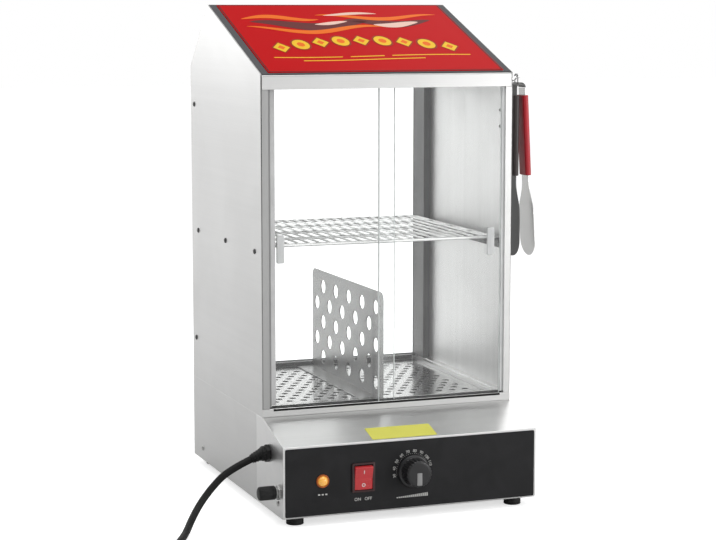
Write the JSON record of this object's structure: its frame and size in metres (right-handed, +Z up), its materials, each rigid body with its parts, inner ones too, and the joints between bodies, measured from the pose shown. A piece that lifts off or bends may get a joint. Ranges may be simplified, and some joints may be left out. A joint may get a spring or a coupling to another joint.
{
  "type": "hot dog steamer",
  "caption": "Counter-top food steamer: heated water base with a control face, glass cabinet with sliding doors, shelf, divider and pitched roof.",
  "frame": {"origin": "on the surface it stands on, under the middle of the whole steamer without its lead, 5.5 mm right of and 11.5 mm in front of the middle of the case", "axes": "+Z up, the doors and the control face look along -Y, +X to the right as seen from the front"},
  "size_m": [0.5016, 0.5667, 0.572],
  "materials": {
    "base_shell": "brushed",
    "control_housing": "brushed",
    "bottom_plate": "plain sheet",
    "rubber_feet": "matt",
    "foot_screws": "zinc plated",
    "cabinet_deck": "brushed",
    "water_tank": "drawn sheet",
    "heating_element": "heat darkened",
    "element_nuts": "turned",
    "drain_pipe": "drawn",
    "drain_fitting": "turned",
    "drain_cap": "moulded",
    "control_overlay": "satin film",
    "pilot_lamp": "moulded",
    "lamp_lens": "clear amber",
    "switch_body": "moulded",
    "rocker_button": "moulded red",
    "thermostat_body": "plated",
    "thermostat_spindle": "turned",
    "thermostat_knob": "moulded",
    "knob_pointer": "insert",
    "thermostat_bulb": "copper",
    "bulb_clips": "pressed",
    "safety_cutout": "moulded",
    "terminal_block": "moulded",
    "wiring": "sleeved",
    "left_side_panel": "brushed",
    "right_side_panel": "brushed",
    "roof_panel": "brushed",
    "sign_panel": "printed",
    "rear_frame": "dark satin",
    "rear_glass": "clear",
    "rear_glass_seal": "extruded",
    "bottom_track": "satin",
    "top_track": "satin",
    "left_door_glass": "clear",
    "left_door_pull": "clear moulding",
    "right_door_glass": "clear",
    "right_door_pull": "clear moulding",
    "door_buffers": "extruded",
    "shelf_rails": "plain sheet",
    "wire_shelf": "plated",
    "perforated_floor": "polished",
    "hot_dog_divider": "polished",
    "tongs_hook": "polished",
    "tongs_inner_arm": "polished",
    "tongs_outer_arm": "polished",
    "tongs_loop": "drawn wire",
    "tongs_inner_grip": "moulded dark brown",
    "tongs_outer_grip": "moulded red",
    "cabinet_screws": "turned",
    "housing_screws": "turned",
    "hook_fixings": "turned",
    "ledge_label": "film",
    "cable_gland": "moulded",
    "power_cord": "extruded",
    "cord_coil": "extruded",
    "cord_tie": "moulded strap",
    "mains_plug": "moulded",
    "plug_pins": "stamped"
  },
  "bodies": {
    "cabinet": {"base_shell": "base_shell", "control_housing": "control_housing", "bottom_plate": "bottom_plate", "rubber_feet": "rubber_feet", "foot_screws": "foot_screws", "cabinet_deck": "cabinet_deck", "water_tank": "water_tank", "heating_element": "heating_element", "element_nuts": "element_nuts", "drain_pipe": "drain_pipe", "drain_fitting": "drain_fitting", "control_overlay": "control_overlay", "pilot_lamp": "pilot_lamp", "lamp_lens": "lamp_lens", "switch_body": "switch_body", "thermostat_body": "thermostat_body", "thermostat_bulb": "thermostat_bulb", "bulb_clips": "bulb_clips", "safety_cutout": "safety_cutout", "terminal_block": "terminal_block", "wiring": "wiring", "left_side_panel": "left_side_panel", "right_side_panel": "right_side_panel", "roof_panel": "roof_panel", "sign_panel": "sign_panel", "rear_frame": "rear_frame", "rear_glass": "rear_glass", "rear_glass_seal": "rear_glass_seal", "bottom_track": "bottom_track", "top_track": "top_track", "door_buffers": "door_buffers", "shelf_rails": "shelf_rails", "tongs_hook": "tongs_hook", "cabinet_screws": "cabinet_screws", "housing_screws": "housing_screws", "hook_fixings": "hook_fixings", "ledge_label": "ledge_label", "cable_gland": "cable_gland", "power_cord": "power_cord", "cord_coil": "cord_coil", "cord_tie": "cord_tie", "mains_plug": "mains_plug", "plug_pins": "plug_pins"},
    "left_door": {"left_door_glass": "left_door_glass", "left_door_pull": "left_door_pull"},
    "right_door": {"right_door_glass": "right_door_glass", "right_door_pull": "right_door_pull"},
    "knob": {"thermostat_knob": "thermostat_knob", "knob_pointer": "knob_pointer", "thermostat_spindle": "thermostat_spindle"},
    "rocker": {"rocker_button": "rocker_button"},
    "drain_cap": {"drain_cap": "drain_cap"},
    "floor": {"perforated_floor": "perforated_floor"},
    "divider": {"hot_dog_divider": "hot_dog_divider"},
    "shelf": {"wire_shelf": "wire_shelf"},
    "tongs": {"tongs_inner_arm": "tongs_inner_arm", "tongs_inner_grip": "tongs_inner_grip", "tongs_loop": "tongs_loop"},
    "tongs_arm": {"tongs_outer_arm": "tongs_outer_arm", "tongs_outer_grip": "tongs_outer_grip"}
  },
  "joints": [
    {"name": "left_door_slide", "type": "slide", "parent": "cabinet", "child": "left_door", "axis": [1, 0, 0], "range_m": [0, 0.128]},
    {"name": "right_door_slide", "type": "slide", "parent": "cabinet", "child": "right_door", "axis": [-1, 0, 0], "range_m": [0, 0.128]},
    {"name": "thermostat_turn", "type": "hinge", "parent": "cabinet", "child": "knob", "pos_m": [-0.0055, -0.17825, 0.054], "axis": [0, 1, 0], "range_deg": [0, 300]},
    {"name": "rocker_press", "type": "hinge", "parent": "cabinet", "child": "rocker", "pos_m": [-0.0646, -0.16375, 0.051], "axis": [-1, 0, 0], "range_deg": [0, 16]},
    {"name": "drain_cap_off", "type": "slide", "parent": "cabinet", "child": "drain_cap", "axis": [-1, 0, 0], "range_m": [0, 0.02]},
    {"name": "floor_lift", "type": "slide", "parent": "cabinet", "child": "floor", "axis": [0, 0, 1], "range_m": [0, 0.02]},
    {"name": "divider_lift", "type": "slide", "parent": "floor", "child": "divider", "axis": [0, 0, 1], "range_m": [0, 0.03]},
    {"name": "shelf_lift", "type": "slide", "parent": "cabinet", "child": "shelf", "axis": [0, 0, 1], "range_m": [0, 0.04]},
    {"name": "tongs_unhook", "type": "slide", "parent": "cabinet", "child": "tongs", "axis": [0.9063, 0, 0.4226], "range_m": [0, 0.016]},
    {"name": "tongs_squeeze", "type": "hinge", "parent": "tongs", "child": "tongs_arm", "pos_m": [0.166, -0.06775, 0.476], "axis": [0, 1, 0], "range_deg": [0, 4.5], "stiffness_Nm_per_rad": 3}
  ]
}
